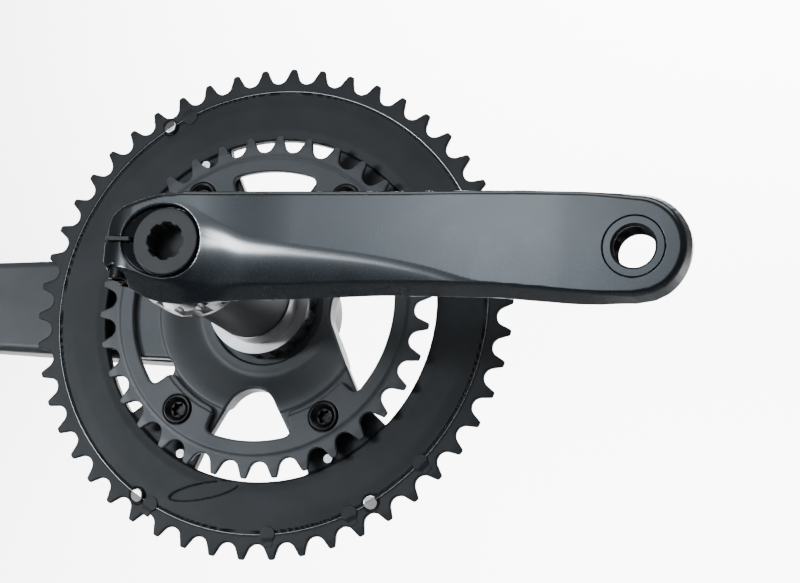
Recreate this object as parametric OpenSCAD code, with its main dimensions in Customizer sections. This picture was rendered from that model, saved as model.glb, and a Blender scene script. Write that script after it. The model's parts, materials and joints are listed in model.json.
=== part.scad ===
// Two-piece bicycle crankset with its external bottom bracket.
// Millimetres. The origin is on the axle's axis, midway between the two cups.
// +Y points to the drive side, +Z up, and the left arm points along +X.

/* [Crank arms] */
// Distance from the axle's axis to the pedal's axis
crank_length = 172.5; // [165:2.5:180]
// Width over the outer faces of the two pedal ends
tread_width = 146; // [144:1:150]
// Thickness of an arm at its pedal end
pedal_end_t = 13.5; // [12:0.5:15]
// Radius of the rounded pedal end
pedal_end_r = 19.5; // [18:0.5:20]
// Diameter of the pedal's thread
pedal_thread_d = 14.28; // [12.7:0.02:14.3]
// Height of the clamp's slot in the left arm
slot_h = 2; // [1.8:0.1:2.6]

/* [Chainrings] */
// Teeth on the big chainring
big_teeth = 50; // [49:1:52]
// Teeth on the small chainring
small_teeth = 34; // [34:1:36]
// Pitch of the chain
chain_pitch = 12.7; // [12.6:0.05:12.8]
// Thickness of a tooth
tooth_t = 2; // [1.8:0.1:2.2]
// Distance from the frame's centre plane to the big ring's teeth
big_ring_y = 46.5; // [46.4:0.1:46.8]
// Distance from the frame's centre plane to the small ring's teeth
small_ring_y = 39.2; // [39:0.1:39.4]
// Diameter of the circle through the chainring bolts
bolt_circle_d = 110; // [110:0.5:111]

/* [Axle and bottom bracket] */
// Outer diameter of the axle
axle_d = 24; // [22:0.5:24]
// Wall thickness of the axle
axle_wall = 2.5; // [2:0.1:2.8]
// Width of the frame's shell that the cups screw into
shell_w = 68; // [68:0.5:69]
// Outer diameter of the cups' thread
cup_thread_d = 34.8; // [34.6:0.1:35]
// Length of the cups' thread
cup_thread_l = 10; // [8:1:12]
// Outer diameter of the cups' flange
cup_d = 43; // [42:0.5:44]
// Balls in each bearing
ball_count = 17; // [12:1:18]

/* [Stop plate] */
// Thickness of the stop plate in the clamp's slot
plate_t = 1.4; // [1:0.1:1.4]

/* [Hidden] */
$fn = 96;

// Clearances
fit_gap = 0.03;          // pressed or bolted pieces of one body
run_gap = 0.1;           // balls and seals against their races
free_gap = 0.3;          // turning pieces that must not touch

// Arms, seen along Y: x along the arm, z across it
outer_y = tread_width / 2;          // outer face of a pedal end
boss_outer_y = 66.5;                // outer face of the arm at the axle
boss_inner_y = 46;                  // inner face of the arm at the axle
beam_inner_y = 51.5;                // inner face just past the axle's boss
pedal_inner_y = outer_y - pedal_end_t;
arm_top = 18.6;
arm_bottom = 17.6;
right_arm_half = 20.6;              // half width of the right arm halfway along
right_root_half = 23.4;             // half width of the right arm at the spider
pedal_r = pedal_thread_d / 2;
pedal_chamfer = 0.8;
pedal_seat_r = 10.6;                // shallow seat round the pedal's hole
pedal_seat_depth = 0.4;
pedal_bevel_t = 2.4;                // bevel round the pedal end
arm_end_x = -40;                    // cuts start beyond the clamp's end
arm_depth = 80;                     // height of the slab an arm is cut from
lean_x = 30;                        // the outer face leans out from here
lean_end = 25;                      // and is level again this far before the pedal's axis
back_end = 16;                      // the same for the inner face
boss_back_x = 20;                   // the axle's boss ends here on the inner face
beam_back_x = 34;

// Axle
axle_r = axle_d / 2;
axle_bore_r = axle_r - axle_wall;
axle_left_y = -62.6;
axle_right_y = 62;
spline_n = 24;
spline_depth = 0.7;
spline_start_y = -47.5;
spline_relief = 1.5;                // the arm's bore is wider where there are no splines
keyway_w = 2.4;
keyway_l = 5.4;
keyway_depth = 2.4;
keyway_y = -59.9;
cover_y = 64.4;                     // cover over the axle's end in the right arm
cover_t = 1.2;
cover_plug = 5.4;

// Clamp of the left arm
slot_z = 0.3;                       // middle of the slot
bolt_x = -18.5;
bolt_ys = [-51.3, -60.3];
pinch_r = 3;
pinch_head_r = 4.2;
pinch_head_h = 5;
pinch_seat_z = -8.5;
washer_t = 0.6;
pinch_top_z = 9.5;
pocket_r = 4.6;
pinch_free = 0.3;                   // the bolts pass the clamp's lower half freely
pinch_hex_r = 2.9;
pinch_hex_depth = 3;

// Preload cap
cap_seat_y = -63;
cap_r = 12.45;
cap_recess_r = 13.3;
cap_t = 2;
cap_hole_r = 7.4;
cap_stem_l = 9;
cap_floor_t = 1.5;
cap_keys = 8;
cap_key_r = 0.9;

// Stop plate
tongue_y = -55.7;
tongue_w = 1.8;
tongue_tip_x = -10.6;
plate_half_w = 4.6;
plate_end_y = -66;
notch_half = 3.45;                  // half width of the notch for the outer bolt

// Bearings: races, balls and seals
bearing_w = 7;
bearing_y = shell_w / 2 + 6.1;
oring_r = 0.55;
race_in_r = 12.5;
race_in_top = 14.6;
race_out_low = 16.4;
race_out_r = 18.5;
ball_pitch_r = 15.5;
ball_r = 1.85;
cage_w = 4.6;
seal_t = 0.4;
seal_inset = 0.3;

// Cups
cup_r = cup_d / 2;
cup_bore_r = 16.9;
cup_shoulder_y = shell_w / 2;
cup_end_y = cup_shoulder_y + 10.5;
notch_n = 16;
notch_r = 2.1;
notch_out = 0.4;                    // the notches' centres lie outside the rim
flange_t = 2;
sleeve_r = 16;
sleeve_t = 1;
sleeve_oring_r = 0.42;
sleeve_inset = 3;                   // from the cup's shoulder to the O-ring

// Rings and spider
function pitch_r(n) = chain_pitch / 2 / sin(180 / n);
bolt_r = bolt_circle_d / 2;
bolt_angles = [55, 125, 235, 305];
seat_r = 3.9;                       // the chain's roller sits in this arc
seat_half = 66;                     // half angle of that arc
seat_step = 22;
big_tooth_h = 2.5;                  // tooth's tip above the pitch circle
small_tooth_h = 3;
tooth_tip_half = 1.1;
tab_half = 15.5;                    // half angle of a ring's bolt tab
small_rim_r = 56.5;
small_step_r = 63.4;
small_tab_r = 46.5;
small_in_y = 37.8;
small_out_y = 41;
big_rim_r = 72;
big_step_r = 93.4;
big_tab_r = 45.4;
big_in_y = 45;
big_out_y = 49.6;
big_tab_out_y = 51;
big_tab_reach = 8;                  // tabs run out over the rim
spider_in_y = small_out_y;
spider_out_y = 46.2;
spider_r = 63;
gap_reach = 140;                    // a gap's sides run out past the spider's rim
bell_r = 45;
bell_out_y = 52;
bell_bore_r = 24;                   // room for the right cup
boss_r = 26;
ring_bolt_r = 4;
ring_head_r = 6;
ring_head_y = 37;
ring_head_h = 2.6;
ring_bolt_end_y = 50.4;
socket_r = 2.2;
lobe_r = 0.6;
socket_depth = 3;
pin_r = 2.8;
pin_angles = [124.3, 239.3, 304.1];
pin_circle_r = 93.6;
pin_in_y = 43.6;
pin_end_y = 47.2;
rivet_r = 1.8;
rivet_angles = [119.5, 243.8, 298.4];
rivet_circle_r = 69.5;
rivet_in_y = 44.2;
rivet_end_y = big_out_y - 1;
catch_r = 2.5;
catch_circle_r = 84;
catch_in_y = big_out_y - 2;
catch_end_y = 54;
beyond = 1;                         // cuts run past the faces they open

satin_black = [0.19, 0.20, 0.21];
gloss_grey = [0.17, 0.19, 0.21];
steel = [0.75, 0.76, 0.77];
polished = [0.82, 0.83, 0.84];
rubber_black = [0.05, 0.05, 0.05];
plastic_black = [0.12, 0.12, 0.12];

// Extrudes a shape drawn in x and z from y0 to y1.
module along_y(y0, y1) {
    translate([0, y1, 0]) rotate([90, 0, 0]) linear_extrude(y1 - y0) children();
}

module ring_y(r_out, r_in, y0, y1) {
    along_y(y0, y1) difference() {
        circle(r_out);
        circle(r_in);
    }
}

// A round ring of rubber lying round the Y axis.
module oring(r_mid, r_tube, y) {
    translate([0, y, 0]) rotate([90, 0, 0]) rotate_extrude() translate([r_mid, 0]) circle(r_tube);
}

module polar(r, a) {
    translate([r * cos(a), r * sin(a)]) children();
}

module wedge(a, half, r) {
    polygon([[0, 0], for (s = [-1, 1]) [r * cos(a + s * half), r * sin(a + s * half)]]);
}

// Outline of a toothed ring: a roller's arc, then a tapered tooth h high, n times.
function tooth_points(n, h) = let (rp = pitch_r(n), step = 360 / n) [
    for (k = [0 : n - 1]) let (a = k * step)
        each [
            for (b = [-seat_half : seat_step : seat_half]) let (x = rp - seat_r * cos(b), z = seat_r * sin(b))
                [x * cos(a) - z * sin(a), x * sin(a) + z * cos(a)],
            for (s = [-1, 1]) let (w = a + step / 2 + s * atan(tooth_tip_half / rp), r = rp + h)
                [r * cos(w), r * sin(w)]
        ]
];

// ---- Bottom bracket ----

module cup(side) {
    mirror([0, side < 0 ? 1 : 0, 0]) difference() {
        union() {
            along_y(cup_shoulder_y - cup_thread_l, cup_shoulder_y) circle(cup_thread_d / 2);
            along_y(cup_shoulder_y, cup_shoulder_y + flange_t) circle(cup_r);
            along_y(cup_shoulder_y + flange_t, cup_end_y) difference() {
                circle(cup_r);
                for (k = [0 : notch_n - 1])
                    polar(cup_r + notch_out, k * 360 / notch_n) circle(notch_r, $fn = 32);
            }
        }
        along_y(cup_shoulder_y - cup_thread_l - beyond, cup_end_y) circle(cup_bore_r);
        along_y(bearing_y - bearing_w / 2, cup_end_y + beyond) circle(race_out_r + fit_gap);
    }
}

module left_cup() { color(polished) cup(-1); }
module right_cup() { color(polished) cup(1); }

module shell_sleeve() {
    half = cup_shoulder_y - sleeve_t;
    mid = cup_shoulder_y - cup_thread_l - free_gap;
    color(plastic_black) {
        ring_y(sleeve_r, sleeve_r - sleeve_t, -half, half);
        ring_y(cup_thread_d / 2 - 2 * free_gap, sleeve_r - sleeve_t, -mid, mid);
    }
}

module sleeve_orings() {
    color(rubber_black) for (s = [-1, 1])
        oring((sleeve_r + cup_bore_r) / 2, sleeve_oring_r, s * (cup_shoulder_y - sleeve_inset));
}

module outer_race(side) {
    translate([0, side * bearing_y, 0]) difference() {
        ring_y(race_out_r, race_out_low, -bearing_w / 2, bearing_w / 2);
        oring(ball_pitch_r, ball_r + run_gap, 0);
    }
}

module inner_race(side) {
    translate([0, side * bearing_y, 0]) difference() {
        ring_y(race_in_top, race_in_r, -bearing_w / 2, bearing_w / 2);
        oring(ball_pitch_r, ball_r + run_gap, 0);
    }
}

module left_outer_race() { color(steel) outer_race(-1); }
module right_outer_race() { color(steel) outer_race(1); }
module left_inner_race() { color(steel) inner_race(-1); }
module right_inner_race() { color(steel) inner_race(1); }

module balls(side) {
    for (k = [0 : ball_count - 1]) rotate([0, -k * 360 / ball_count, 0])
        translate([ball_pitch_r, side * bearing_y, 0]) sphere(ball_r, $fn = 32);
}

module left_balls() { color(polished) balls(-1); }
module right_balls() { color(polished) balls(1); }

// Two rims joined by posts between the balls.
module ball_cage(side) {
    r_out = race_out_low - free_gap;
    r_in = race_in_top + free_gap;
    pocket = ball_r + run_gap / 2;
    translate([0, side * bearing_y, 0]) {
        ring_y(r_out, r_in, -cage_w / 2, -pocket);
        ring_y(r_out, r_in, pocket, cage_w / 2);
        along_y(-pocket, pocket) difference() {
            circle(r_out);
            circle(r_in);
            for (k = [0 : ball_count - 1]) polar(ball_pitch_r, k * 360 / ball_count) circle(pocket);
        }
    }
}

module left_ball_cage() { color(plastic_black) ball_cage(-1); }
module right_ball_cage() { color(plastic_black) ball_cage(1); }

// Two sealing discs per bearing, held by the outer race.
module bearing_seals(side) {
    edge = bearing_w / 2 - seal_inset;
    translate([0, side * bearing_y, 0]) for (s = [-1, 1])
        ring_y(race_out_low - fit_gap, race_in_top + run_gap,
               min(s * edge, s * (edge - seal_t)), max(s * edge, s * (edge - seal_t)));
}

module left_bearing_seals() { color(rubber_black) bearing_seals(-1); }
module right_bearing_seals() { color(rubber_black) bearing_seals(1); }

// Bush between axle and bearing, with a flange that keeps dirt out of the cup.
module dust_cap(side) {
    face = bearing_y + bearing_w / 2;
    mirror([0, side < 0 ? 1 : 0, 0]) {
        ring_y(race_in_r - fit_gap, axle_r + fit_gap, bearing_y - bearing_w / 2, face);
        ring_y(race_in_top - run_gap, axle_r + fit_gap, face, boss_inner_y);
        ring_y(race_out_r - free_gap, race_in_r, face + free_gap, boss_inner_y - free_gap);
    }
}

module left_dust_cap() { color(plastic_black) dust_cap(-1); }
module right_dust_cap() { color(plastic_black) dust_cap(1); }

// ---- Axle ----

module spline_2d(r) {
    polygon([for (k = [0 : spline_n - 1]) let (a = k * 360 / spline_n)
        each [for (c = [[-4.4, 0], [-3.2, 1], [3.2, 1], [4.4, 0]])
            let (q = r - spline_depth * (1 - c[1])) [q * cos(a + c[0]), q * sin(a + c[0])]]]);
}

module axle() {
    color(steel) difference() {
        union() {
            along_y(spline_start_y, axle_right_y) circle(axle_r);
            along_y(axle_left_y, spline_start_y) spline_2d(axle_r - fit_gap);
        }
        along_y(axle_left_y - beyond, axle_right_y + beyond) circle(axle_bore_r);
        // Keyway that the stop plate's tongue drops into
        translate([-axle_r - beyond, keyway_y, slot_z - keyway_w / 2])
            cube([keyway_depth + beyond, keyway_l, keyway_w]);
    }
}

module axle_oring() {
    lift = oring_r + run_gap;
    color(rubber_black) oring(axle_r + lift, oring_r, -boss_inner_y - lift);
}

module axle_cover() {
    color(satin_black) {
        along_y(cover_y, cover_y + cover_t) circle(cap_r);
        along_y(cover_y - cover_plug, cover_y) circle(axle_bore_r - fit_gap);
    }
}

// ---- Crank arms ----

// Arm seen from above, as a slab that leans outwards towards the pedal.
module arm_slab() {
    tip_x = crank_length + pedal_end_r + beyond;
    linear_extrude(arm_depth, center = true) polygon([
        [arm_end_x, -boss_outer_y], [lean_x, -boss_outer_y], [crank_length - lean_end, -outer_y],
        [tip_x, -outer_y], [tip_x, -pedal_inner_y], [crank_length - back_end, -pedal_inner_y],
        [beam_back_x, -beam_inner_y], [boss_back_x, -boss_inner_y], [arm_end_x, -boss_inner_y]
    ]);
}

module pedal_end_2d() { polar(crank_length, 0) circle(pedal_end_r); }

// The left arm's outline: clamp on the left, pedal end on the right.
module left_arm_2d() {
    polygon([
        [crank_length, pedal_end_r], [crank_length - 20, arm_top + 0.5], [90, arm_top], [4, arm_top],
        [-6, 16.8], [-15.7, 13.8], [-20.6, 11.9], [-22.9, 9.8], [-23.9, 6.2], [-24, 1],
        [-25.2, -1], [-25.4, -6], [-24.4, -9.8], [-20.2, -13.8], [-12.9, -18.2], [-3, -22.2],
        [5, -23.6], [14, -23.7], [33, -22.5], [58, -19.5], [88, -arm_bottom], [crank_length - 18, -arm_bottom],
        [crank_length, -pedal_end_r]
    ]);
    pedal_end_2d();
}

// Threaded pedal hole with its seat, chamfered at both mouths.
module pedal_cut() {
    translate([crank_length, 0, 0]) {
        along_y(-outer_y - beyond, -pedal_inner_y + beyond) circle(pedal_r);
        along_y(-outer_y - beyond, -outer_y + pedal_seat_depth) circle(pedal_seat_r);
        translate([0, -pedal_inner_y + 0.01, 0]) rotate([90, 0, 0])
            cylinder(h = pedal_chamfer, r1 = pedal_r + pedal_chamfer, r2 = pedal_r);
    }
}

// Bevel round the outer edge of the pedal end, on the side away from the axle.
module pedal_bevel() {
    intersection() {
        translate([crank_length, -outer_y + pedal_bevel_t, 0]) rotate([90, 0, 0]) rotate_extrude()
            polygon([[pedal_end_r + 0.01, 0], [pedal_end_r + 2, 0],
                     [pedal_end_r + 2, pedal_bevel_t + beyond],
                     [pedal_end_r - pedal_bevel_t - beyond, pedal_bevel_t + beyond]]);
        translate([crank_length, -outer_y - arm_depth / 2, -arm_depth / 2])
            cube([arm_depth / 2, arm_depth, arm_depth]);
    }
}

module left_crank_arm() {
    color(gloss_grey) difference() {
        intersection() {
            arm_slab();
            along_y(-outer_y - beyond, -boss_inner_y + beyond) left_arm_2d();
        }
        along_y(-boss_outer_y - beyond, -boss_inner_y + beyond) spline_2d(axle_r + fit_gap);
        along_y(spline_start_y, -boss_inner_y + beyond) circle(axle_r + spline_relief);
        along_y(-boss_outer_y - beyond, cap_seat_y) circle(cap_recess_r);
        translate([arm_end_x, -arm_depth, slot_z - slot_h / 2]) cube([-arm_end_x, arm_depth, slot_h]);
        for (y = bolt_ys) translate([bolt_x, y, -arm_depth / 2]) {
            cylinder(h = arm_depth / 2, r = pinch_r + pinch_free);
            cylinder(h = arm_depth / 2 + pinch_top_z + free_gap, r = pinch_r + fit_gap);
            cylinder(h = arm_depth / 2 + pinch_seat_z, r = pocket_r);
        }
        // The two bolt pockets run into one
        translate([bolt_x - pocket_r, bolt_ys[1], pinch_seat_z - arm_depth / 2])
            cube([2 * pocket_r, bolt_ys[0] - bolt_ys[1], arm_depth / 2]);
        pedal_cut();
        pedal_bevel();
    }
}

// One gap of the spider: a round inner end that opens outwards between two directions.
module gap_2d(x, z, r, a0, a1) {
    q = r - 0.1;
    translate([x, z]) {
        circle(r);
        polygon([
            for (a = [a0 - 90, a1 + 90]) [q * cos(a), q * sin(a)],
            [q * cos(a1 + 90) + gap_reach * cos(a1), q * sin(a1 + 90) + gap_reach * sin(a1)],
            [q * cos(a0 - 90) + gap_reach * cos(a0), q * sin(a0 - 90) + gap_reach * sin(a0)]
        ]);
    }
}

// Gaps between the four arms of the spider and the crank arm.
module spider_gaps_2d() {
    for (m = [0, 1]) mirror([0, m]) {
        gap_2d(-0.5, -44.8, 10.6, 243, 302);
        gap_2d(-40.9, -28, 4.5, 180, 236);
    }
    gap_2d(40.5, 0, 13.2, -62, 62);
}

module right_arm_2d() {
    polygon([
        [0, right_root_half], [-48, right_root_half], [-crank_length + 45, right_arm_half],
        [-crank_length, pedal_end_r], [-crank_length, -pedal_end_r], [-crank_length + 45, -right_arm_half],
        [-48, -right_root_half], [0, -right_root_half]
    ]);
    mirror([1, 0]) pedal_end_2d();
}

module right_crank_arm() {
    color(satin_black) difference() {
        union() {
            along_y(spider_in_y, spider_out_y) difference() {
                circle(spider_r);
                spider_gaps_2d();
            }
            along_y(spider_out_y, bell_out_y) difference() {
                circle(bell_r);
                spider_gaps_2d();
            }
            along_y(boss_inner_y, boss_outer_y) circle(boss_r);
            rotate([0, 0, 180]) intersection() {
                arm_slab();
                along_y(-outer_y - beyond, -boss_inner_y + beyond) mirror([1, 0]) right_arm_2d();
            }
        }
        along_y(spider_in_y - beyond, boss_inner_y) circle(bell_bore_r);
        along_y(boss_inner_y - beyond, boss_outer_y + beyond) circle(axle_r + fit_gap);
        along_y(cover_y - fit_gap, boss_outer_y + beyond) circle(cap_recess_r);
        along_y(spider_in_y - beyond, spider_out_y + beyond) ring_holes(ring_bolt_r + fit_gap);
        rotate([0, 0, 180]) {
            pedal_cut();
            pedal_bevel();
        }
    }
}

// ---- Chainrings ----

module ring_holes(r) {
    for (a = bolt_angles) polar(bolt_r, a) circle(r);
}

module tabs_2d(r_in, r_out) {
    intersection() {
        difference() {
            circle(r_out);
            circle(r_in);
        }
        for (a = bolt_angles) wedge(a, tab_half, r_out * 1.2);
    }
}

module big_chainring() {
    color(satin_black) difference() {
        union() {
            along_y(big_ring_y - tooth_t / 2, big_ring_y + tooth_t / 2) difference() {
                polygon(tooth_points(big_teeth, big_tooth_h));
                circle(big_rim_r + beyond);
            }
            ring_y(big_step_r, big_rim_r, big_in_y, big_out_y);
            along_y(spider_out_y, big_tab_out_y) tabs_2d(big_tab_r, big_rim_r + big_tab_reach);
        }
        along_y(spider_out_y - beyond, ring_bolt_end_y + run_gap) ring_holes(ring_bolt_r + fit_gap);
        along_y(big_in_y - beyond, pin_end_y)
            for (a = pin_angles) polar(pin_circle_r, a) circle(pin_r + fit_gap);
        along_y(big_in_y - beyond, rivet_end_y)
            for (a = rivet_angles) polar(rivet_circle_r, a) circle(rivet_r + fit_gap);
        along_y(catch_in_y, big_tab_out_y) polar(catch_circle_r, 180) circle(catch_r + fit_gap);
    }
}

module small_chainring() {
    color(satin_black) difference() {
        union() {
            along_y(small_ring_y - tooth_t / 2, small_ring_y + tooth_t / 2) difference() {
                polygon(tooth_points(small_teeth, small_tooth_h));
                circle(small_rim_r + beyond);
            }
            ring_y(small_step_r, small_rim_r, small_in_y, small_out_y);
            along_y(small_in_y, small_out_y) tabs_2d(small_tab_r, small_rim_r + beyond);
        }
        along_y(small_in_y - beyond, small_out_y + beyond) ring_holes(ring_bolt_r + fit_gap);
        along_y(small_in_y - beyond, ring_head_y + ring_head_h) ring_holes(ring_head_r + free_gap);
    }
}

module chainring_bolts() {
    color(plastic_black) difference() {
        union() {
            along_y(ring_head_y, ring_head_y + ring_head_h) ring_holes(ring_head_r);
            along_y(ring_head_y + ring_head_h, ring_bolt_end_y) ring_holes(ring_bolt_r);
        }
        // Six-lobed socket
        along_y(ring_head_y - beyond, ring_head_y + socket_depth) for (a = bolt_angles) polar(bolt_r, a) {
            circle(socket_r);
            for (k = [0 : 5]) polar(socket_r, k * 60) circle(lobe_r, $fn = 24);
        }
    }
}

module shift_pins() {
    color(polished) along_y(pin_in_y, pin_end_y) for (a = pin_angles) polar(pin_circle_r, a) circle(pin_r);
}

module shift_rivets() {
    color(polished) along_y(rivet_in_y, rivet_end_y)
        for (a = rivet_angles) polar(rivet_circle_r, a) circle(rivet_r);
}

// Keeps a dropped chain from falling between the big ring and the arm.
module chain_catch_pin() {
    color(steel) along_y(catch_in_y, catch_end_y) polar(catch_circle_r, 180) circle(catch_r);
}

// ---- Clamp ----

module pinch_bolts() {
    seat = pinch_seat_z - washer_t;
    color(plastic_black) for (y = bolt_ys) translate([bolt_x, y, seat]) difference() {
        union() {
            translate([0, 0, -pinch_head_h]) cylinder(h = pinch_head_h, r = pinch_head_r);
            cylinder(h = pinch_top_z - seat, r = pinch_r);
        }
        translate([0, 0, -pinch_head_h - beyond])
            cylinder(h = pinch_hex_depth + beyond, r = pinch_hex_r, $fn = 6);
    }
}

module pinch_washers() {
    color(steel) for (y = bolt_ys) translate([bolt_x, y, pinch_seat_z - washer_t]) difference() {
        cylinder(h = washer_t, r = pinch_head_r + run_gap);
        translate([0, 0, -beyond]) cylinder(h = washer_t + 2 * beyond, r = pinch_r + fit_gap);
    }
}

module preload_cap() {
    color(plastic_black) difference() {
        union() {
            along_y(cap_seat_y - cap_t, cap_seat_y) circle(cap_r);
            along_y(cap_seat_y, cap_seat_y + cap_stem_l) circle(axle_bore_r - fit_gap);
        }
        along_y(cap_seat_y - cap_t - beyond, cap_seat_y + cap_stem_l - cap_floor_t) difference() {
            circle(cap_hole_r);
            for (k = [0 : cap_keys - 1])
                polar(cap_hole_r, (k + 0.5) * 360 / cap_keys) circle(cap_key_r, $fn = 24);
        }
    }
}

// Plate that turns on the inner pinch bolt and locks the arm on the axle with its tongue.
module stop_plate() {
    in_y = bolt_ys[0];
    out_y = bolt_ys[1];
    color(plastic_black) translate([0, 0, slot_z - plate_t / 2]) linear_extrude(plate_t) difference() {
        union() {
            translate([bolt_x, in_y]) circle(plate_half_w);
            translate([bolt_x - plate_half_w, plate_end_y]) square([2 * plate_half_w, in_y - plate_end_y]);
            translate([bolt_x, tongue_y - tongue_w / 2]) square([tongue_tip_x - bolt_x, tongue_w]);
        }
        translate([bolt_x, in_y]) circle(pinch_r + 2 * fit_gap);
        translate([bolt_x, out_y]) circle(pinch_r + free_gap);
        // Open notch, so that the plate can swing off the outer bolt
        translate([bolt_x, out_y - pinch_r - free_gap]) square([2 * plate_half_w, 2 * notch_half]);
    }
}

left_cup();
right_cup();
shell_sleeve();
sleeve_orings();
left_outer_race();
right_outer_race();
left_inner_race();
right_inner_race();
left_balls();
right_balls();
left_ball_cage();
right_ball_cage();
left_bearing_seals();
right_bearing_seals();
left_dust_cap();
right_dust_cap();
axle();
axle_oring();
axle_cover();
left_crank_arm();
right_crank_arm();
big_chainring();
small_chainring();
chainring_bolts();
shift_pins();
shift_rivets();
chain_catch_pin();
pinch_bolts();
pinch_washers();
preload_cap();
stop_plate();
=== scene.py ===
import json
import math

import bpy
import numpy as np
from mathutils import Matrix, Vector


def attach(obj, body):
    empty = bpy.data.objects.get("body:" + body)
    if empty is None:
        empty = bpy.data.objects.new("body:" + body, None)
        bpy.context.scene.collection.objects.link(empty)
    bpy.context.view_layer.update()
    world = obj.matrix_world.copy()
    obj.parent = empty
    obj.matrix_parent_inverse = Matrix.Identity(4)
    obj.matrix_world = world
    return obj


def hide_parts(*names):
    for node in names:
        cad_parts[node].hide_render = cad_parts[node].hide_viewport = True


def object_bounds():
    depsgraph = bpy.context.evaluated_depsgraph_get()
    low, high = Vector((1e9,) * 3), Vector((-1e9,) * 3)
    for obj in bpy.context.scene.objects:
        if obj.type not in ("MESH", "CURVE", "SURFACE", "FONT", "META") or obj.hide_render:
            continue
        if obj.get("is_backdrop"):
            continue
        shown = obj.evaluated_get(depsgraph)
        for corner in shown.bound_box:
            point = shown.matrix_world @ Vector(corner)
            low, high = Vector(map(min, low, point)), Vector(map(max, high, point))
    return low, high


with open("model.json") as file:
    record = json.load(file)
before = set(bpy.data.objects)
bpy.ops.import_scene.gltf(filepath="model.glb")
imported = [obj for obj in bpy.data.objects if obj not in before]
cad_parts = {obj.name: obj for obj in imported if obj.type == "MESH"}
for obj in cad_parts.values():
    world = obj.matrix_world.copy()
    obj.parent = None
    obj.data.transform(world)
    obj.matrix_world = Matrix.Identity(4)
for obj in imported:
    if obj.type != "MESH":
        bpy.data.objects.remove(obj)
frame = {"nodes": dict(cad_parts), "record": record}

CAD_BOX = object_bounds()
MM = 0.001          # shapes are worked out in millimetres, like the CAD

# Main sizes in millimetres, as in the CAD
ARM = 172.5                     # axle to pedal
END_FACE, BOSS_FACE = 73.0, 66.5    # outer faces of an arm at the pedal and at the axle
END_BACK, BOSS_BACK = 59.5, 46.0    # inner faces there
CAP_SEAT = 63.0                 # depth of the recess round the preload cap
SLOT_Z = 0.3                    # middle of the clamp's slot
BOLTS = (55.0, 125.0, 235.0, 305.0)     # angles of the chainring bolts
BOLT_R = 55.0                   # radius of the circle they stand on
BOLT_HOLE_R = 4.03
PINS = (124.3, 239.3, 304.1)            # angles of the big ring's shift pins
PIN_R = 93.6                    # radius of the circle they stand on
BUTTONS = (118.4, 243.5, 276.4, 298.1, 319.7)   # angles of the big ring's raised buttons
BUTTON_R = 93.4
HALF_PITCH = 6.35               # half of the chain's pitch
BIG_TEETH, SMALL_TEETH = 50, 34
BIG_TOOTH_H, SMALL_TOOTH_H = 2.5, 3.0   # teeth beyond the pitch circle
BIG_TEETH_Y, SMALL_TEETH_Y = 46.5, 39.2
PEDAL_HOLE_R = 7.7              # the arm's opening round the threaded sleeve
PEDAL_SEAT_R = 10.7             # recess that the raised seat ring stands in
PEDAL_BACK_R = 8.4              # opening on the arm's inner face
THREAD_R, THREAD_H, THREAD_PITCH = 7.14, 0.55, 1.27
AXLE_R = 12.1                   # bore for the axle in the left arm
CAP_RECESS_R = 13.35            # recess round the preload cap
CLAMP_BOLTS = (-51.3, -60.3)    # places of the pinch bolts along the axle
CLAMP_X = -18.5                 # distance of the pinch bolts from the axle's centre
CLAMP_MID_Y = -55.8             # middle of the pocket for their heads


# ---------------------------------------------------------------- shapes from fields

def smax(a, b, k):
    """The larger of two fields, with an edge rounded over about k."""
    h = np.clip(0.5 + 0.5 * (a - b) / k, 0, 1)
    return b + (a - b) * h + k * h * (1 - h)


def smin(a, b, k):
    return -smax(-a, -b, k)


def step(a, b, x):
    t = np.clip((x - a) / (b - a), 0, 1)
    return t * t * (3 - 2 * t)


def curve(points):
    """A smooth function through points (x, value), flat beyond the first and last."""
    px, pv = (np.array(c, float) for c in zip(*points))
    slope = np.diff(pv) / np.diff(px)
    m = np.zeros(len(px))
    same = slope[1:] * slope[:-1] > 0
    m[1:-1][same] = 2 * (slope[1:] * slope[:-1])[same] / (slope[1:] + slope[:-1])[same]

    def at(x):
        x = np.clip(x, px[0], px[-1])
        i = np.clip(np.searchsorted(px, x) - 1, 0, len(px) - 2)
        w = px[i + 1] - px[i]
        t = (x - px[i]) / w
        return ((2 * t**3 - 3 * t**2 + 1) * pv[i] + (t**3 - 2 * t**2 + t) * w * m[i]
                + (3 * t**2 - 2 * t**3) * pv[i + 1] + (t**3 - t**2) * w * m[i + 1])

    return at


def outline(points):
    """Signed distance to a polygon, negative inside, as a function of two coordinates."""
    pts = [np.array(p, float) for p in points]

    def at(x, z):
        best = np.full(np.shape(x), 1e9)
        inside = np.zeros(np.shape(x), bool)
        for (ax, az), (bx, bz) in zip(pts, pts[1:] + pts[:1]):
            ex, ez = bx - ax, bz - az
            t = np.clip(((x - ax) * ex + (z - az) * ez) / (ex * ex + ez * ez), 0, 1)
            best = np.minimum(best, np.hypot(x - ax - t * ex, z - az - t * ez))
            if az != bz:
                inside ^= ((az > z) != (bz > z)) & (x < ex * (z - az) / (bz - az) + ax)
        return np.where(inside, -best, best)

    return at


def arc(cx, cz, r, a0, a1, n):
    return [(cx + r * math.cos(math.radians(a)), cz + r * math.sin(math.radians(a)))
            for a in np.linspace(a0, a1, n)]


def on_circle(angle, radius):
    """The (x, z) of a place on a circle round the axle, the angle in degrees."""
    c = math.radians(angle)
    return radius * math.cos(c), radius * math.sin(c)


def gradient(field, p, h=0.04):
    g = np.empty_like(p)
    for i in range(3):
        d = np.zeros(3)
        d[i] = h
        g[:, i] = (field(*(p + d).T) - field(*(p - d).T)) / (2 * h)
    return g


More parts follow.
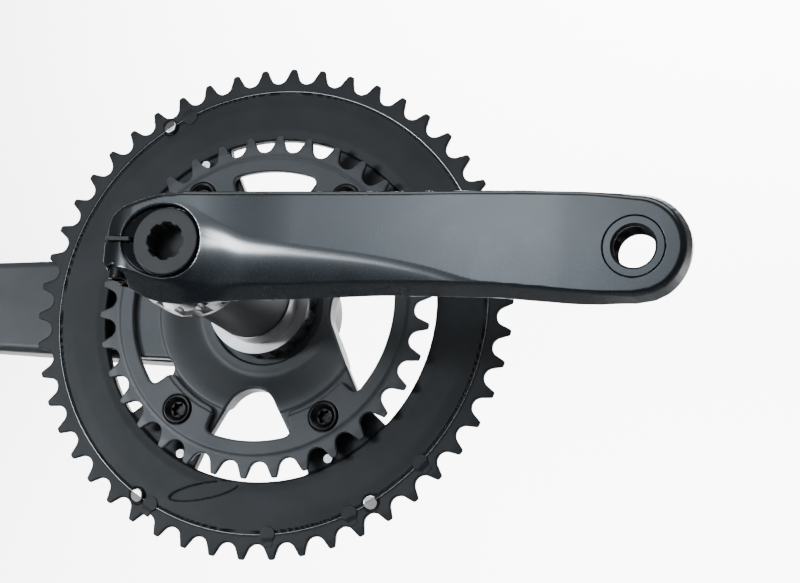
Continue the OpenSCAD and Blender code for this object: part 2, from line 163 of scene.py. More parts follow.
def sample(field, low, n, cell):
    """Field values on a grid; blocks far from the surface only get their sign."""
    block = 8
    nb = -(-n // block)
    f = np.empty(nb * block, np.float32)
    b = np.argwhere(np.ones(nb, bool))
    mid = low + (b + 0.5) * block * cell
    f_mid = field(*mid.T)
    local = np.argwhere(np.ones((block, block, block), bool))
    near = np.abs(f_mid) < 1.5 * block * cell
    blocks = f.reshape(nb[0], block, nb[1], block, nb[2], block)
    blocks[...] = f_mid.reshape(nb)[:, None, :, None, :, None]
    for part in np.array_split(b[near], max(1, near.sum() // 400)):
        q = (part[:, None, :] * block + local[None]).reshape(-1, 3)
        f[tuple(q.T)] = field(*(low + q * cell).T)
    return f[:n[0], :n[1], :n[2]]


def from_field(name, field, low, high, cell):
    """A closed mesh of the surface where field is 0, with the field's own normals."""
    low, high = np.array(low, float), np.array(high, float)
    n = np.ceil((high - low) / cell).astype(int) + 1
    f = sample(field, low, n, cell)
    inside = f < 0
    total = np.zeros([k - 1 for k in n] + [3], np.float32)
    count = np.zeros([k - 1 for k in n], np.int16)
    for a in range(3):
        lo = [slice(None)] * 3
        hi = [slice(None)] * 3
        lo[a], hi[a] = slice(0, -1), slice(1, None)
        fa, fb = f[tuple(lo)], f[tuple(hi)]
        cross = (fa < 0) != (fb < 0)
        t = np.where(cross, fa / np.where(cross, fa - fb, 1), 0)
        b, c = [k for k in range(3) if k != a]
        for ob in (0, 1):
            for oc in (0, 1):
                part = [slice(None)] * 3
                part[b] = slice(ob, n[b] - 1 + ob)
                part[c] = slice(oc, n[c] - 1 + oc)
                hit = cross[tuple(part)]
                count += hit
                total[..., a] += np.where(hit, t[tuple(part)], 0)
                total[..., b] += hit * ob
                total[..., c] += hit * oc
    has = count > 0
    index = np.full(has.shape, -1, np.int64)
    index[has] = np.arange(has.sum())
    base = np.argwhere(has)
    p = low + (base + total[has] / count[has][:, None]) * cell
    quads = []
    for a in range(3):
        b, c = [(1, 2), (2, 0), (0, 1)][a]
        lo = [slice(1, -1)] * 3
        hi = [slice(1, -1)] * 3
        lo[a], hi[a] = slice(0, -1), slice(1, None)
        s0, s1 = inside[tuple(lo)], inside[tuple(hi)]
        at = np.argwhere(s0 != s1)
        way = s0[s0 != s1]
        at[:, b] += 1
        at[:, c] += 1
        corner = []
        for ob, oc in ((0, 0), (1, 0), (1, 1), (0, 1)):
            q = at.copy()
            q[:, b] -= 1 - ob
            q[:, c] -= 1 - oc
            corner.append(index[tuple(q.T)])
        quad = np.stack(corner, 1)
        quad[~way] = quad[~way][:, ::-1]
        quads.append(quad)
    quads = np.concatenate(quads)
    for _ in range(4):
        g = gradient(field, p)
        size = np.maximum((g * g).sum(1), 1e-3)
        move = -(field(*p.T) / size)[:, None] * g
        length = np.maximum(np.linalg.norm(move, axis=1), 1e-9)
        p = p + move * np.minimum(1, 0.5 * cell / length)[:, None]
    g = gradient(field, p, 0.1)
    g /= np.maximum(np.linalg.norm(g, axis=1), 1e-9)[:, None]
    return mesh_object(name, p, quads, g)


def mesh_object(name, points, faces, normals=None, smooth=True):
    """points in millimetres, faces as index lists."""
    mesh = bpy.data.meshes.new(name)
    mesh.from_pydata((np.asarray(points) * MM).tolist(), [], [list(map(int, q)) for q in faces])
    mesh.validate()
    mesh.polygons.foreach_set("use_smooth", [smooth] * len(mesh.polygons))
    if normals is not None and len(mesh.vertices) == len(normals):
        mesh.normals_split_custom_set_from_vertices(normals.tolist())
    ob = bpy.data.objects.new(name, mesh)
    bpy.context.scene.collection.objects.link(ob)
    return ob


# ---------------------------------------------------------------- left crank arm

face_at = curve([(-40, -BOSS_FACE), (12, -BOSS_FACE), (50, -BOSS_FACE - 1.7), (120, -END_FACE + 1),
                 (150, -END_FACE + 0.05), (200, -END_FACE + 0.05)])
back_at = curve([(-40, -BOSS_BACK), (19, -BOSS_BACK), (36, -51.4), (90, -55.2), (150, -END_BACK + 0.1),
                 (200, -END_BACK + 0.1)])
# Height of the ridge between the upper and the lower facet
ridge_at = curve([(-24, 9), (-10, 14.4), (0, 15.6), (7, 14), (15.4, 9.7), (21.7, 6.5), (31.9, 2.2),
                  (50, -0.6), (80, -4.4), (99.7, -8), (119, -12.9), (127, -14.2), (150, -15.5)])
# How far the lower side wall leans out
wall_at = curve([(-24.5, 1.3), (-20, 2.8), (-13, 5.6), (-3, 7.7), (5, 7.9), (23, 5.9), (42, 5), (63, 4.2),
                 (88, 3.5), (150, 3.3), (174, 1.9)])
# Width of the gently sloped part below the ridge
band_at = curve([(-20, 9), (12, 8), (28, 5), (50, 2.5), (90, 1.2), (150, 1)])
left_outline = outline(
    [(-23.3, 0.5), (-22.6, 6), (-21.5, 8.8), (-17.2, 11.8), (-11, 14.3), (-3.5, 16.6), (5.5, 17.6),
     (30, 17.8), (90, 17.8), (130, 18.2), (155, 17.9)] + arc(ARM, 0, 17.1, 85, -50, 20)
    + [(179.5, -15.3), (173.5, -16.5), (162, -16.5), (150, -15.8), (126, -14.3), (85, -14.1), (50, -14.9),
       (17, -14.7), (0.4, -14.1), (-6.9, -13.1), (-16.4, -10.9), (-22.6, -9.4), (-24, -7.6), (-24.2, -0.6)])


def falling_away(x, below):
    """How far the lower facet lies behind the upper one, at a distance below the ridge."""
    band = band_at(x)
    past = np.maximum(below - band, 0)
    fall = 0.10 * below + 0.025 * np.minimum(below, band)**2 / band + 0.03 * past \
        + 0.19 * (past - 6 * (1 - np.exp(-past / 6)))
    return fall * (0.26 + 0.74 * step(-4, 26, x))


def left_arm(x, y, z):
    face = face_at(x)
    depth = y - face
    thick = back_at(x) - face
    low = 1 - step(-7, 7, z)                   # 1 on the lower half
    end = step(158, 178, x)
    crease = falling_away(x, ridge_at(x) + 13.5)
    grow_low = wall_at(x) * np.clip((depth - crease) / (6.8 - crease), 0, 1)
    tuck = np.clip((depth - 6.5) / (thick - 6.5), 0, 1)
    grow_low = grow_low - tuck * (1.6 + 0.25 * wall_at(x))
    grow_top = (0.9 + 1.3 * end) * np.clip(depth / (1.1 + 4 * end), 0, 1)
    wall = left_outline(x, z) - (grow_top + (grow_low - grow_top) * low)
    below = np.maximum(ridge_at(x) - z, 0)
    lean = 0.03 * np.maximum(-13.5 - x, 0)**2      # the clamp's end curves away
    facet = face + lean + falling_away(x, below)
    front = smax(face + lean - y, (facet - y) * 0.97, 0.5)
    body = smax(smax(wall, front, 0.9 + 0.7 * end), y - back_at(x), 2.0)
    body = smax(body, (-x - 22.6 - (y + BOSS_FACE)) * 0.7, 0.6)
    # Recess round the preload cap, stretched towards the slot
    stretch = np.where(x < 0, 1.26, 1.0)
    r = np.hypot(x / stretch, z)
    floor = y + CAP_SEAT + 0.25 + 0.42 * np.clip(np.hypot(x, z) - 12.9, 0, 9)
    recess = smax(r - CAP_RECESS_R, floor, 0.5)
    body = smax(body, -recess, 0.7)
    bore = np.hypot(x, z) - AXLE_R
    slot = np.maximum(np.abs(z - SLOT_Z) - 0.85, x + 11)
    body = smax(body, -np.minimum(bore, slot), 0.45)
    # Pocket for the two pinch bolts, open below
    pocket = np.hypot(x - CLAMP_X, np.maximum(np.abs(y - CLAMP_MID_Y) - 4.5, 0)) - 4.1
    body = smax(body, -smax(pocket, z + 8.4, 0.8), 0.5)
    hub = np.hypot(x - ARM, z)
    hole = np.minimum(hub - PEDAL_HOLE_R, np.maximum(hub - PEDAL_SEAT_R, y - face - 0.7))
    hole = np.minimum(hole, hub - PEDAL_BACK_R - (y - back_at(x)))
    return smax(body, -hole, 0.2)


# ---------------------------------------------------------------- right crank arm and spider

right_outline = outline([(0, 22.6), (48, 22.6), (ARM - 45, 19.8)]
                        + arc(ARM, 0, 18.6, 88, -88, 24) + [(ARM - 45, -19.8), (48, -22.6), (0, -22.6)])


def gap(x, z, cx, cz, r, a0, a1):
    """A round hollow that opens outwards between the directions a0 and a1."""
    mid, half = math.radians((a0 + a1) / 2), math.radians((a1 - a0) / 2)
    u = (x - cx) * math.cos(mid) + (z - cz) * math.sin(mid)
    v = np.abs(-(x - cx) * math.sin(mid) + (z - cz) * math.cos(mid))
    along = u * math.cos(half) + v * math.sin(half)
    across = -u * math.sin(half) + v * math.cos(half)
    return np.where(along > 0, across, np.hypot(u, v)) - r


def right_arm(x, y, z):
    r = np.hypot(x, z)
    az = np.abs(z)
    gaps = np.minimum(gap(x, -az, -0.5, -44.8, 10.6, 243, 302), gap(x, -az, -40.9, -28, 4.5, 180, 236))
    gaps = np.minimum(gaps, gap(x, z, 40.5, 0, 13.2, -62, 62))
    # Bowl round the bearing cup, with a low rim where the small ring's tabs seat
    dish = 3.9 * (1 - step(26, 44.5, r))
    spider = smax(smax(r - 62.8, 41 + dish - y, 0.7), y - 46.2, 0.7)
    bell = smax(smax(r - 44.8, y - 52 + 3 * step(34, 46, r), 2.5), 41 + dish - y, 0.7)
    web = smax(smin(spider, bell, 1.5), -gaps, 1.0)
    boss = smax(smax(r - 26, y - BOSS_FACE, 1.5), 46.2 - y, 0.7)
    u = -x
    beam = smax(right_outline(u, z), y + face_at(np.maximum(u, 30)), 3.2)
    beam = smax(beam, -y - back_at(np.maximum(u, 60)), 3.2)
    body = smin(smin(web, boss, 4.0), beam, 3.5)
    bore = np.minimum(smax(r - 24, y - BOSS_BACK, 0.5), r - 12.05)
    body = smax(body, -np.minimum(bore, smax(r - CAP_RECESS_R, 64.3 - y, 0.5)), 0.6)
    hub = np.hypot(u - ARM, z)
    seat = np.maximum(hub - PEDAL_SEAT_R, -y - face_at(u) - 0.7)
    body = smax(body, -np.minimum(hub - PEDAL_HOLE_R, seat), 0.2)
    for a in BOLTS:
        cx, cz = on_circle(a, BOLT_R)
        body = np.maximum(body, BOLT_HOLE_R - np.hypot(x - cx, z - cz))
    return body


# ---------------------------------------------------------------- chainrings

def teeth(x, z, n, height):
    """Toothed outline: round seats for the chain's rollers between blunt teeth."""
    pitch_r = HALF_PITCH / math.sin(math.pi / n)
    seat, half = 3.9, 1.1           # radius of a roller's seat, half of a tooth's tip
    reach = (pitch_r + height) * math.sin(math.pi / n) - half
    lean = math.asin(reach / math.hypot(reach, height)) - math.asin(seat / math.hypot(reach, height))
    r = np.hypot(x, z)
    sector = 2 * math.pi / n
    a = np.mod(np.arctan2(z, x) + sector / 2, sector) - sector / 2
    u, v = r * np.cos(a) - pitch_r, np.abs(r * np.sin(a))
    along = u * math.cos(lean) + v * math.sin(lean)
    across = -u * math.sin(lean) + v * math.cos(lean)
    seats = np.where(along > 0, across, np.hypot(u, v)) - seat
    return smax(r - pitch_r - height, -seats, 0.6), r - pitch_r


def tabs(x, z, inner, side):
    """Four bolt tabs with rounded corners, reaching in to radius inner."""
    r = np.hypot(x, z)
    best = np.full(np.shape(x), 1e9)
    for a in BOLTS:
        c = math.radians(a)
        v = np.abs(-x * math.sin(c) + z * math.cos(c))
        u = x * math.cos(c) + z * math.sin(c)
        wedge = v * math.cos(side) - u * math.sin(side)
        best = np.minimum(best, smax(np.where(u > 0, wedge, 30), inner - r, 3.0))
    return best


def big_ring(x, y, z):
    outline_2d, over = teeth(x, z, BIG_TEETH, BIG_TOOTH_H)
    r = over + HALF_PITCH / math.sin(math.pi / BIG_TEETH)
    blade = smax(outline_2d, np.abs(y - BIG_TEETH_Y) - 1.0 + 0.3 * step(-1.5, 2.5, over), 0.45)
    face = 45.0 + 0.35 * step(86, 93, r) + 0.35 * (1 - step(72, 77, r))
    back = 49.6 - 0.9 * step(80, 93, r)
    rim = smax(smax(r - 93.7, face - y, 0.5), y - back, 0.8)
    lugs = smax(smax(smax(tabs(x, z, 45.6, math.radians(15)), r - 80, 1.5), 46.25 - y, 0.5), y - 51, 0.9)
    body = smin(smax(smin(rim, blade, 0.5), 72.1 - r, 0.8), lugs, 1.2)
    body = smax(body, -smax(np.abs(r - 92.7) - 0.35, y - 45.75, 0.2), 0.25)
    # Shallow leaf-shaped relief that helps the chain up
    u, v = (x + 19) * 0.972 + (z + 77) * 0.236, -(x + 19) * 0.236 + (z + 77) * 0.972
    leaf = (np.hypot(u / 15, v / 3.3) - 1) * 3
    body = smax(body, -smax(leaf, y - 45.6, 0.2), 0.3)
    for a in PINS:
        cx, cz = on_circle(a, PIN_R)
        d = np.hypot(x - cx, z - cz)
        body = smax(body, -smax(d - 3.5, y - 45.9, 0.3), 0.3)
    for a in BOLTS:
        cx, cz = on_circle(a, BOLT_R)
        body = np.maximum(body, BOLT_HOLE_R - np.hypot(x - cx, z - cz))
    return body


def small_ring(x, y, z):
    outline_2d, over = teeth(x, z, SMALL_TEETH, SMALL_TOOTH_H)
    r = over + HALF_PITCH / math.sin(math.pi / SMALL_TEETH)
    blade = smax(outline_2d, np.abs(y - SMALL_TEETH_Y) - 1.0 + 0.3 * step(-1.5, 3, over), 0.45)
    rim = smax(smax(r - 63.6, 37.8 + 0.5 * step(61.6, 63.6, r) - y, 0.4), y - 41, 0.5)
    inner = smin(56.5 - r, tabs(x, z, 46.6, math.radians(15.5)), 4.0)
    body = smax(smin(smax(rim, y - 41, 0.3), blade, 0.35), inner, 0.7)
    lip = smax(np.abs(r - 47.4) - 1.1, y - 38.6, 0.3)
    body = smax(body, -lip, 0.4)
    for a in BOLTS:
        cx, cz = on_circle(a, BOLT_R)
        d = np.hypot(x - cx, z - cz)
        body = smax(body, -np.minimum(d - 4.1, smax(d - 6.25, y - 39.6, 0.2)), 0.3)
    return body


def ring_bolt(a):
    """A chainring bolt with a dished head and a six-lobed socket."""
    cx, cz = on_circle(a, BOLT_R)

    def field(x, y, z):
        u, v = x - cx, z - cz
        d = np.hypot(u, v)
        head = smax(smax(d - 5.9, 37.0 - y, 0.5), y - 39.55, 0.3)
        dish = smax(d - 4.9 + 0.85 * (y - 37.0), y - 39.0, 0.2)
        t = np.arctan2(v, u)
        socket = smax(d - 2.35 - 0.4 * np.cos(6 * t), y - 41.5, 0.2)
        shank = smax(d - 4.0, np.maximum(39.0 - y, y - 50.35), 0.4)
        return smax(smax(np.minimum(head, shank), -dish, 0.3), -socket, 0.25)

    return field


def shift_pin(a):
    """A round pin on the big ring whose face slopes down outwards."""
    c = math.radians(a)
    cx, cz = on_circle(a, PIN_R)

    def field(x, y, z):
        u, v = x - cx, z - cz
        d = np.hypot(u, v)
        out = u * math.cos(c) + v * math.sin(c)
        return smax(smax(d - 2.8, 43.6 + 0.45 * np.maximum(out + 0.6, 0) - y, 0.5), y - 47.2, 0.3)

    return field


def pinch_bolt(y0):
    """A clamp bolt with a hexagonal socket, its head downwards."""
    def field(x, y, z):
        u, v = x - CLAMP_X, y - y0
        d = np.hypot(u, v)
        head = smax(smax(d - 3.7, z + 9.1, 0.2), -14.05 - z, 0.7)
        hexagon = np.maximum(np.abs(v), np.abs(u) * 0.866 + np.abs(v) * 0.5) - 2.4
        shank = smax(d - 2.95, np.maximum(-9.5 - z, z - 9.4), 0.3)
        return smax(np.minimum(head, shank), -smax(hexagon, z + 11.2, 0.15), 0.25)

    return field


def button(name, angle, r_disc):
    """A low round boss on the big ring's step, with a tongue out to the tooth beside it."""
    c = math.radians(angle)

    def field(x, y, z):
        out = x * math.cos(c) + z * math.sin(c) - r_disc
        side = np.abs(-x * math.sin(c) + z * math.cos(c))
        disc = np.hypot(out, side) - 3.3
        tongue = smax(side - 2.1, np.maximum(-out, out - 5.2), 0.8)
        top = 44.92 + 0.45 * step(1, 3.5, out)
        return smax(smin(disc, tongue, 0.8), np.maximum(top - y, y - 46.3), 0.25)

    cx, cz = r_disc * math.cos(c), r_disc * math.sin(c)
    return from_field(name, field, (cx - 7, 44.5, cz - 7), (cx + 7, 46.8, cz + 7), 0.22)


def cap_field(x, y, z):
    """The preload cap: a disc and a stem, with eight keys in its tool socket."""
    r = np.hypot(x, z)
    t = np.arctan2(z, x)
    disc = smax(smax(r - 12.4, -64.95 - y, 0.5), y + 63.0, 0.2)
    stem = smax(r - 9.45, np.maximum(-64 - y, y + 54.0), 0.3)
    key = 7.1 - 0.6 * step(0.3, 0.8, np.cos(8 * t + math.pi))
    return smax(np.minimum(disc, stem), -smax(r - key, y + 55.5, 0.3), 0.35)


def pedal_sleeve(name, side):
    """The threaded wall of a pedal's hole."""
    rows, n = 9, 96                 # rows to a turn of the thread, points round the hole
    top, bottom = END_FACE - 0.6, END_BACK + 0.1
    start, length = top - 0.8, top - bottom - 1.6
    count = int(length / THREAD_PITCH * rows)
    grid = [[(7.75, top - 0.1)] * n]
    for i in range(count + 1):
        h = start - length * i / count
        fade = min(1, i / 12, (count - i) / 12)
        row = []
        for k in range(n):
            phase = (h / THREAD_PITCH + side * k / n) % 1
            row.append((THREAD_R + THREAD_H * fade * (1 - abs(2 * phase - 1)), h))
        grid.append(row)
    grid += [[(7.95, bottom)] * n, [(8.3, bottom)] * n, [(8.3, start)] * n]
    turns = [2 * math.pi * k / n for k in range(n)]
    points = [(-side * ARM + r * math.cos(turns[k]), side * h, r * math.sin(turns[k]))
              for row in grid for k, (r, h) in enumerate(row)]
    m = len(grid)
    faces = [(i * n + k, i * n + (k + 1) % n, (i + 1) % m * n + (k + 1) % n, (i + 1) % m * n + k)
             for i in range(m) for k in range(n)]
    if side < 0:
        faces = [f[::-1] for f in faces]
    ob = mesh_object(name, points, faces)
    ob.data.set_sharp_from_angle(angle=math.radians(35))
    return ob


def lathe(name, profile, n=96, sharp=30, x0=0.0):
    """A closed profile of (radius, y) turned about the line through x0 along Y."""
    m = len(profile)
    points = [(x0 + r * math.cos(2 * math.pi * k / n), y, r * math.sin(2 * math.pi * k / n))
              for r, y in profile for k in range(n)]
    faces = [(i * n + k, (i + 1) % m * n + k, (i + 1) % m * n + (k + 1) % n, i * n + (k + 1) % n)
             for i in range(m) for k in range(n)]
    ob = mesh_object(name, points, faces)
    ob.data.set_sharp_from_angle(angle=math.radians(sharp))
    return ob


# ---------------------------------------------------------------- materials

def new_material(name):
    mat = bpy.data.materials.new(name)
    mat.use_nodes = True
    nt = mat.node_tree
    nt.nodes.clear()
    out = nt.nodes.new("ShaderNodeOutputMaterial")
    bsdf = nt.nodes.new("ShaderNodeBsdfPrincipled")
    nt.links.new(bsdf.outputs[0], out.inputs[0])
    return mat, nt, bsdf


def noise(nt, coord, scale, detail=3.0, rough=0.5):
    n = nt.nodes.new("ShaderNodeTexNoise")
    n.inputs["Scale"].default_value = scale
    n.inputs["Detail"].default_value = detail
    n.inputs["Roughness"].default_value = rough
    nt.links.new(coord, n.inputs["Vector"])
    return n.outputs["Fac"]


def ramp(nt, value, a, b, low, high):
    m = nt.nodes.new("ShaderNodeMapRange")
    for key, v in (("From Min", a), ("From Max", b), ("To Min", low), ("To Max", high)):
        m.inputs[key].default_value = v
    nt.links.new(value, m.inputs["Value"])
    return m.outputs["Result"]


def mix(nt, fac, a, b):
    m = nt.nodes.new("ShaderNodeMix")
    m.data_type = "RGBA"
    nt.links.new(fac, m.inputs[0])
    for socket, v in ((m.inputs[6], a), (m.inputs[7], b)):
        if isinstance(v, tuple):
            socket.default_value = (*v, 1)
        else:
            nt.links.new(v, socket)
    return m.outputs[2]


def surface(name, dark, light, rough=(0.3, 0.4), metallic=0.0, grain=900.0, bump=0.02, coat=0.0,
            coat_rough=0.1, blotch=45.0, specular=0.5):
    """A procedural finish: two close tones, roughness that varies, and a fine grain."""
    mat, nt, bsdf = new_material(name)
    coord = nt.nodes.new("ShaderNodeTexCoord").outputs["Object"]
    tone = noise(nt, coord, blotch)
    fine = noise(nt, coord, grain, 2.0)
    colour = mix(nt, ramp(nt, tone, 0.3, 0.7, 0, 1), dark, light)
    nt.links.new(colour, bsdf.inputs["Base Color"])
    nt.links.new(ramp(nt, fine, 0.25, 0.75, *rough), bsdf.inputs["Roughness"])
    b = nt.nodes.new("ShaderNodeBump")
    b.inputs["Strength"].default_value = bump
    b.inputs["Distance"].default_value = 0.0002
    nt.links.new(fine, b.inputs["Height"])
    nt.links.new(b.outputs[0], bsdf.inputs["Normal"])
    bsdf.inputs["Metallic"].default_value = metallic
    bsdf.inputs["Coat Weight"].default_value = coat
    bsdf.inputs["Coat Roughness"].default_value = coat_rough
    bsdf.inputs["Specular IOR Level"].default_value = specular
    return mat


def painted_arm(name):
    """Deep glossy grey with fine metal flake in it. It turns navy towards the lower half: partly the paint's
    own tone, partly painted shade for the dark reflections on the lower facets.
    """
    mat, nt, bsdf = new_material(name)
    coord = nt.nodes.new("ShaderNodeTexCoord").outputs["Object"]
    xyz = nt.nodes.new("ShaderNodeSeparateXYZ")
    nt.links.new(coord, xyz.inputs[0])
    cloud = noise(nt, coord, 30)
    # Painted shade: the base colour darkens to navy towards the bottom, partly the paint's own tone and
    # partly standing in for the dark reflections on the lower facets
    low = ramp(nt, xyz.outputs["Z"], -0.012, 0.009, 1, 0)
    base = mix(nt, low, (0.024, 0.029, 0.034), (0.006, 0.0115, 0.018))
    base = mix(nt, ramp(nt, cloud, 0.35, 0.65, 0, 0.35), base, (0.013, 0.018, 0.023))
    flakes = nt.nodes.new("ShaderNodeTexVoronoi")
    flakes.inputs["Scale"].default_value = 5200
    nt.links.new(coord, flakes.inputs["Vector"])
    spark = nt.nodes.new("ShaderNodeSeparateColor")
    nt.links.new(flakes.outputs["Color"], spark.inputs[0])
    few = ramp(nt, spark.outputs[0], 0.93, 1.0, 0, 0.4)
    fleck = nt.nodes.new("ShaderNodeMath")
    fleck.operation = "MULTIPLY"
    nt.links.new(few, fleck.inputs[0])
    nt.links.new(low, fleck.inputs[1])
    nt.links.new(mix(nt, fleck.outputs[0], base, (0.08, 0.13, 0.17)), bsdf.inputs["Base Color"])
    fine = noise(nt, coord, 2600, 2.0)
    wear = noise(nt, coord, 90, 4.0)
    nt.links.new(ramp(nt, wear, 0.3, 0.75, 0.26, 0.36), bsdf.inputs["Roughness"])
    b = nt.nodes.new("ShaderNodeBump")
    b.inputs["Strength"].default_value = 0.02
    b.inputs["Distance"].default_value = 0.0001
    nt.links.new(fine, b.inputs["Height"])
    nt.links.new(b.outputs[0], bsdf.inputs["Normal"])
    bsdf.inputs["Metallic"].default_value = 0.35
    bsdf.inputs["Specular IOR Level"].default_value = 0.4
    bsdf.inputs["Coat Weight"].default_value = 1.0
    bsdf.inputs["Coat Roughness"].default_value = 0.12
    return mat


MATS = {
    "arm_gloss": painted_arm("arm_gloss"),
    "ring_satin": surface("ring_satin", (0.034, 0.037, 0.040), (0.044, 0.047, 0.051), rough=(0.42, 0.52),
                          metallic=0.25, grain=1800, bump=0.04, specular=0.3),
    # A lighter copy of ring_satin: painted light for the right arm and the small ring, whose faces catch more
    # light
    "ring_satin_painted_light": surface("ring_satin_painted_light", (0.072, 0.078, 0.084), (0.088, 0.094, 0.101), rough=(0.36, 0.46),
                         metallic=0.25, grain=1800, bump=0.03, specular=0.35),
    "polished_alloy": surface("polished_alloy", (0.50, 0.50, 0.51), (0.60, 0.60, 0.61), rough=(0.28, 0.38),
                              metallic=1.0, grain=1200, bump=0.01),
    "bearing_steel": surface("bearing_steel", (0.34, 0.34, 0.35), (0.44, 0.44, 0.45), rough=(0.24, 0.34),
                             metallic=1.0, grain=1200),
    "pin_steel": surface("pin_steel", (0.66, 0.66, 0.66), (0.78, 0.78, 0.78), rough=(0.14, 0.22),
                         metallic=1.0),
    "black_steel": surface("black_steel", (0.010, 0.010, 0.011), (0.015, 0.015, 0.016), rough=(0.26, 0.36),
                           metallic=0.3),
    "black_plastic": surface("black_plastic", (0.058, 0.061, 0.064), (0.070, 0.073, 0.076), rough=(0.5, 0.62),
                             grain=2600, bump=0.05),
    "seal_rubber": surface("seal_rubber", (0.008, 0.008, 0.008), (0.013, 0.013, 0.013), rough=(0.6, 0.75),
                           grain=2600, bump=0.05),
}

slot_of = {s["node"]: s["material_slot"] for s in frame["record"]["subparts"]}
for node, ob in frame["nodes"].items():
    ob.data.materials.clear()
    ob.data.materials.append(MATS[slot_of[node]])


def place(piece, body, slot, *nodes, finish=None):
    """Gives a new piece its material and body, and hides the CAD nodes it stands for."""
    piece.data.materials.append(MATS[finish or slot])
    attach(piece, body)
    if nodes:
        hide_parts(*nodes)
    return piece


place(from_field("left_arm", left_arm, (-28, -75, -26), (194, -44, 21), 0.55), "crank", "arm_gloss",
      "left_crank_arm")
# The right arm wears the lighter copy of the ring finish: painted light
place(from_field("right_arm", right_arm, (-194, 39, -65), (65, 75, 65), 0.75), "crank", "ring_satin",
      "right_crank_arm", finish="ring_satin_painted_light")
place(from_field("big_ring", big_ring, (-106, 44, -106), (106, 52.5, 106), 0.62), "crank", "ring_satin",
      "big_chainring")
# The small ring wears the lighter copy of the ring finish: painted light
place(from_field("small_ring", small_ring, (-74, 36.5, -74), (74, 42.5, 74), 0.5), "crank", "ring_satin",
      "small_chainring", finish="ring_satin_painted_light")
place(from_field("cap", cap_field, (-13.5, -66, -13.5), (13.5, -53, 13.5), 0.3), "crank", "black_plastic",
      "preload_cap")
for k, angle in enumerate(BOLTS):
    cx, cz = on_circle(angle, BOLT_R)
    place(from_field(f"ring_bolt_{k}", ring_bolt(angle), (cx - 7, 36.4, cz - 7),
                                        (cx + 7, 51, cz + 7), 0.3), "crank", "black_steel")
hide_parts("chainring_bolts")
for k, angle in enumerate(PINS):
    cx, cz = on_circle(angle, PIN_R)
    place(from_field(f"shift_pin_{k}", shift_pin(angle), (cx - 3.4, 43, cz - 3.4),
                                 (cx + 3.4, 48, cz + 3.4), 0.22), "crank", "pin_steel")
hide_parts("shift_pins")
for k, angle in enumerate(BUTTONS):
    place(button(f"ramp_{k}", angle, BUTTON_R), "crank", "ring_satin")
for k, y0 in enumerate(CLAMP_BOLTS):
    bolt = from_field(f"clamp_bolt_{k}", pinch_bolt(y0), (CLAMP_X - 4.7, y0 - 4.7, -14.6),
                      (CLAMP_X + 4.7, y0 + 4.7, 10), 0.3)
    place(bolt, "crank", "black_steel")
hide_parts("pinch_bolts")
for side, name, slot in ((-1, "left", "arm_gloss"), (1, "right", "ring_satin")):
    place(pedal_sleeve(f"{name}_pedal_thread", side), "crank", "ring_satin")
    edge = [(7.75, 72.2), (7.75, 72.6), (8.0, 72.85), (10.35, 72.85), (10.5, 72.7), (10.5, 72.2)]
    edge = [(r, side * h) for r, h in edge]
    place(lathe(f"{name}_pedal_seat", edge if side > 0 else edge[::-1], x0=-side * ARM), "crank", slot)
# A thin bare-metal lip on the big ring's step: the machined edge, and a painted highlight for the step's
# bright edge line
lip = [(93.3, 46.0), (93.3, 45.25), (93.37, 45.18), (93.55, 45.18), (93.62, 45.25), (93.62, 46.0)]
place(lathe("big_ring_lip_highlight", lip, 360, 50), "crank", "bearing_steel")


# ---------------------------------------------------------------- room, light, camera

def sweep(points):
    """A pale backdrop: (y, z) points in metres, spread along X."""
    width, n = 4.0, len(points)
    mesh = bpy.data.meshes.new("backdrop")
    mesh.from_pydata([(x, y, z) for x in (-width, width) for y, z in points], [],
                     [(i, n + i, n + i + 1, i + 1) for i in range(n - 1)])
    mesh.polygons.foreach_set("use_smooth", [True] * len(mesh.polygons))
    ob = bpy.data.objects.new("backdrop", mesh)
    bpy.context.scene.collection.objects.link(ob)
    return ob


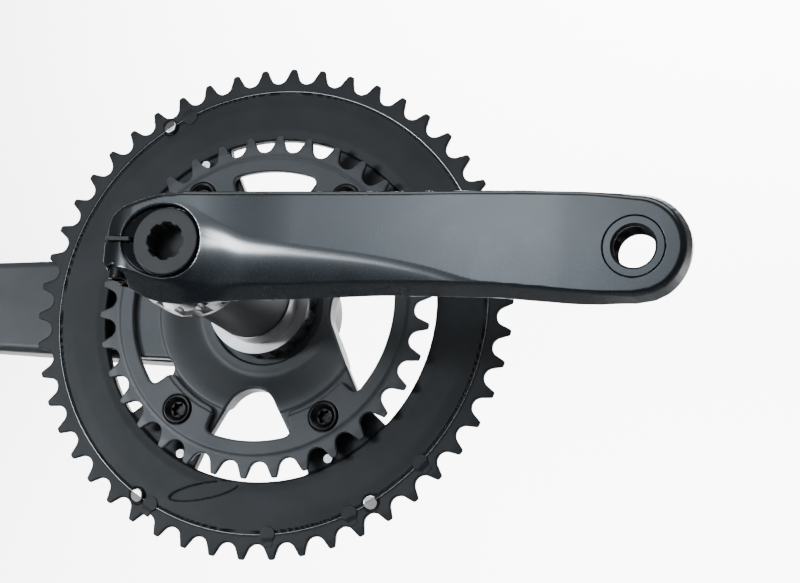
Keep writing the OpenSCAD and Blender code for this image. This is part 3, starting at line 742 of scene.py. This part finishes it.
FLOOR_Z, FLOOR_END_Y, BEND = -0.32, 1.4, 0.8
bend = [(FLOOR_END_Y + BEND * math.sin(math.radians(a)), FLOOR_Z + BEND * (1 - math.cos(math.radians(a))))
        for a in range(0, 91, 6)]
backdrop = sweep([(-0.45, FLOOR_Z)] + bend + [(FLOOR_END_Y + BEND, 3.0)])
mat, nt, bsdf = new_material("backdrop_pale")
bsdf.inputs["Base Color"].default_value = (0.5, 0.5, 0.5, 1)
bsdf.inputs["Roughness"].default_value = 0.8
backdrop.data.materials.append(mat)
backdrop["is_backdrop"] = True


def area_light(name, place_at, target, size, power, fade=False, colour=(1, 1, 1)):
    """A softbox; with fade it is brightest in the middle and dies away to its edges."""
    data = bpy.data.lights.new(name, "AREA")
    data.shape = "RECTANGLE"
    data.size, data.size_y = size
    data.energy = power
    data.color = colour
    if fade:
        data.use_nodes = True
        nt = data.node_tree
        emission = nt.nodes["Emission"]
        split = nt.nodes.new("ShaderNodeSeparateXYZ")
        nt.links.new(nt.nodes.new("ShaderNodeNewGeometry").outputs["Parametric"], split.inputs[0])
        value = None
        for axis in ("X", "Y"):
            wave = nt.nodes.new("ShaderNodeMath")
            wave.operation = "MULTIPLY"
            nt.links.new(split.outputs[axis], wave.inputs[0])
            wave.inputs[1].default_value = math.pi
            sine = nt.nodes.new("ShaderNodeMath")
            sine.operation = "SINE"
            nt.links.new(wave.outputs[0], sine.inputs[0])
            if value:
                both = nt.nodes.new("ShaderNodeMath")
                both.operation = "MULTIPLY"
                nt.links.new(value, both.inputs[0])
                nt.links.new(sine.outputs[0], both.inputs[1])
                value = both.outputs[0]
            else:
                value = sine.outputs[0]
        nt.links.new(value, emission.inputs["Strength"])
    ob = bpy.data.objects.new(name, data)
    bpy.context.scene.collection.objects.link(ob)
    ob.location = place_at
    ob.rotation_euler = (Vector(target) - Vector(place_at)).to_track_quat("-Z", "Y").to_euler()
    return ob


area_light("key_above", (0.1, -0.5, 1.3), (0, 0, 0), (1.6, 1.0), 12)
area_light("strip_front", (-1.10, -1.6, -0.05), (0.0, -0.07, 0), (0.8, 0.34), 38, True, (0.93, 0.97, 1))
area_light("fill_front", (-0.42, -1.75, 0.47), (0.07, -0.07, 0), (0.9, 0.6), 9.5, True, (0.84, 0.93, 1))
area_light("backdrop_wash", (0, 0.9, 1.9), (0, 2.1, 0.4), (3.0, 0.6), 250).data.spread = math.radians(110)

bpy.context.scene.view_settings.look = "AgX - Medium High Contrast"
world = bpy.data.worlds.new("studio")
bpy.context.scene.world = world
world.use_nodes = True
world.node_tree.nodes["Background"].inputs[0].default_value = (1, 1, 1, 1)
world.node_tree.nodes["Background"].inputs[1].default_value = 0.17

# Seen from the left, a little below and behind, as in a bicycle's side view
camera_at = Vector((0.2954, -0.7248, -0.1646))
look = Vector((-0.2900, 0.9337, 0.2100)).normalized()
up = Vector((-0.0289, -0.2279, 0.9733))
right = look.cross(up).normalized()
up = right.cross(look)
cam_data = bpy.data.cameras.new("camera")
cam_data.sensor_width = 36
cam_data.lens = 91.683
cam = bpy.data.objects.new("camera", cam_data)
bpy.context.scene.collection.objects.link(cam)
cam.matrix_world = Matrix((right, up, -look)).transposed().to_4x4()
cam.location = camera_at
bpy.context.scene.camera = cam

[[list(map(float, corner)) for corner in box] for box in (CAD_BOX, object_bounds())]
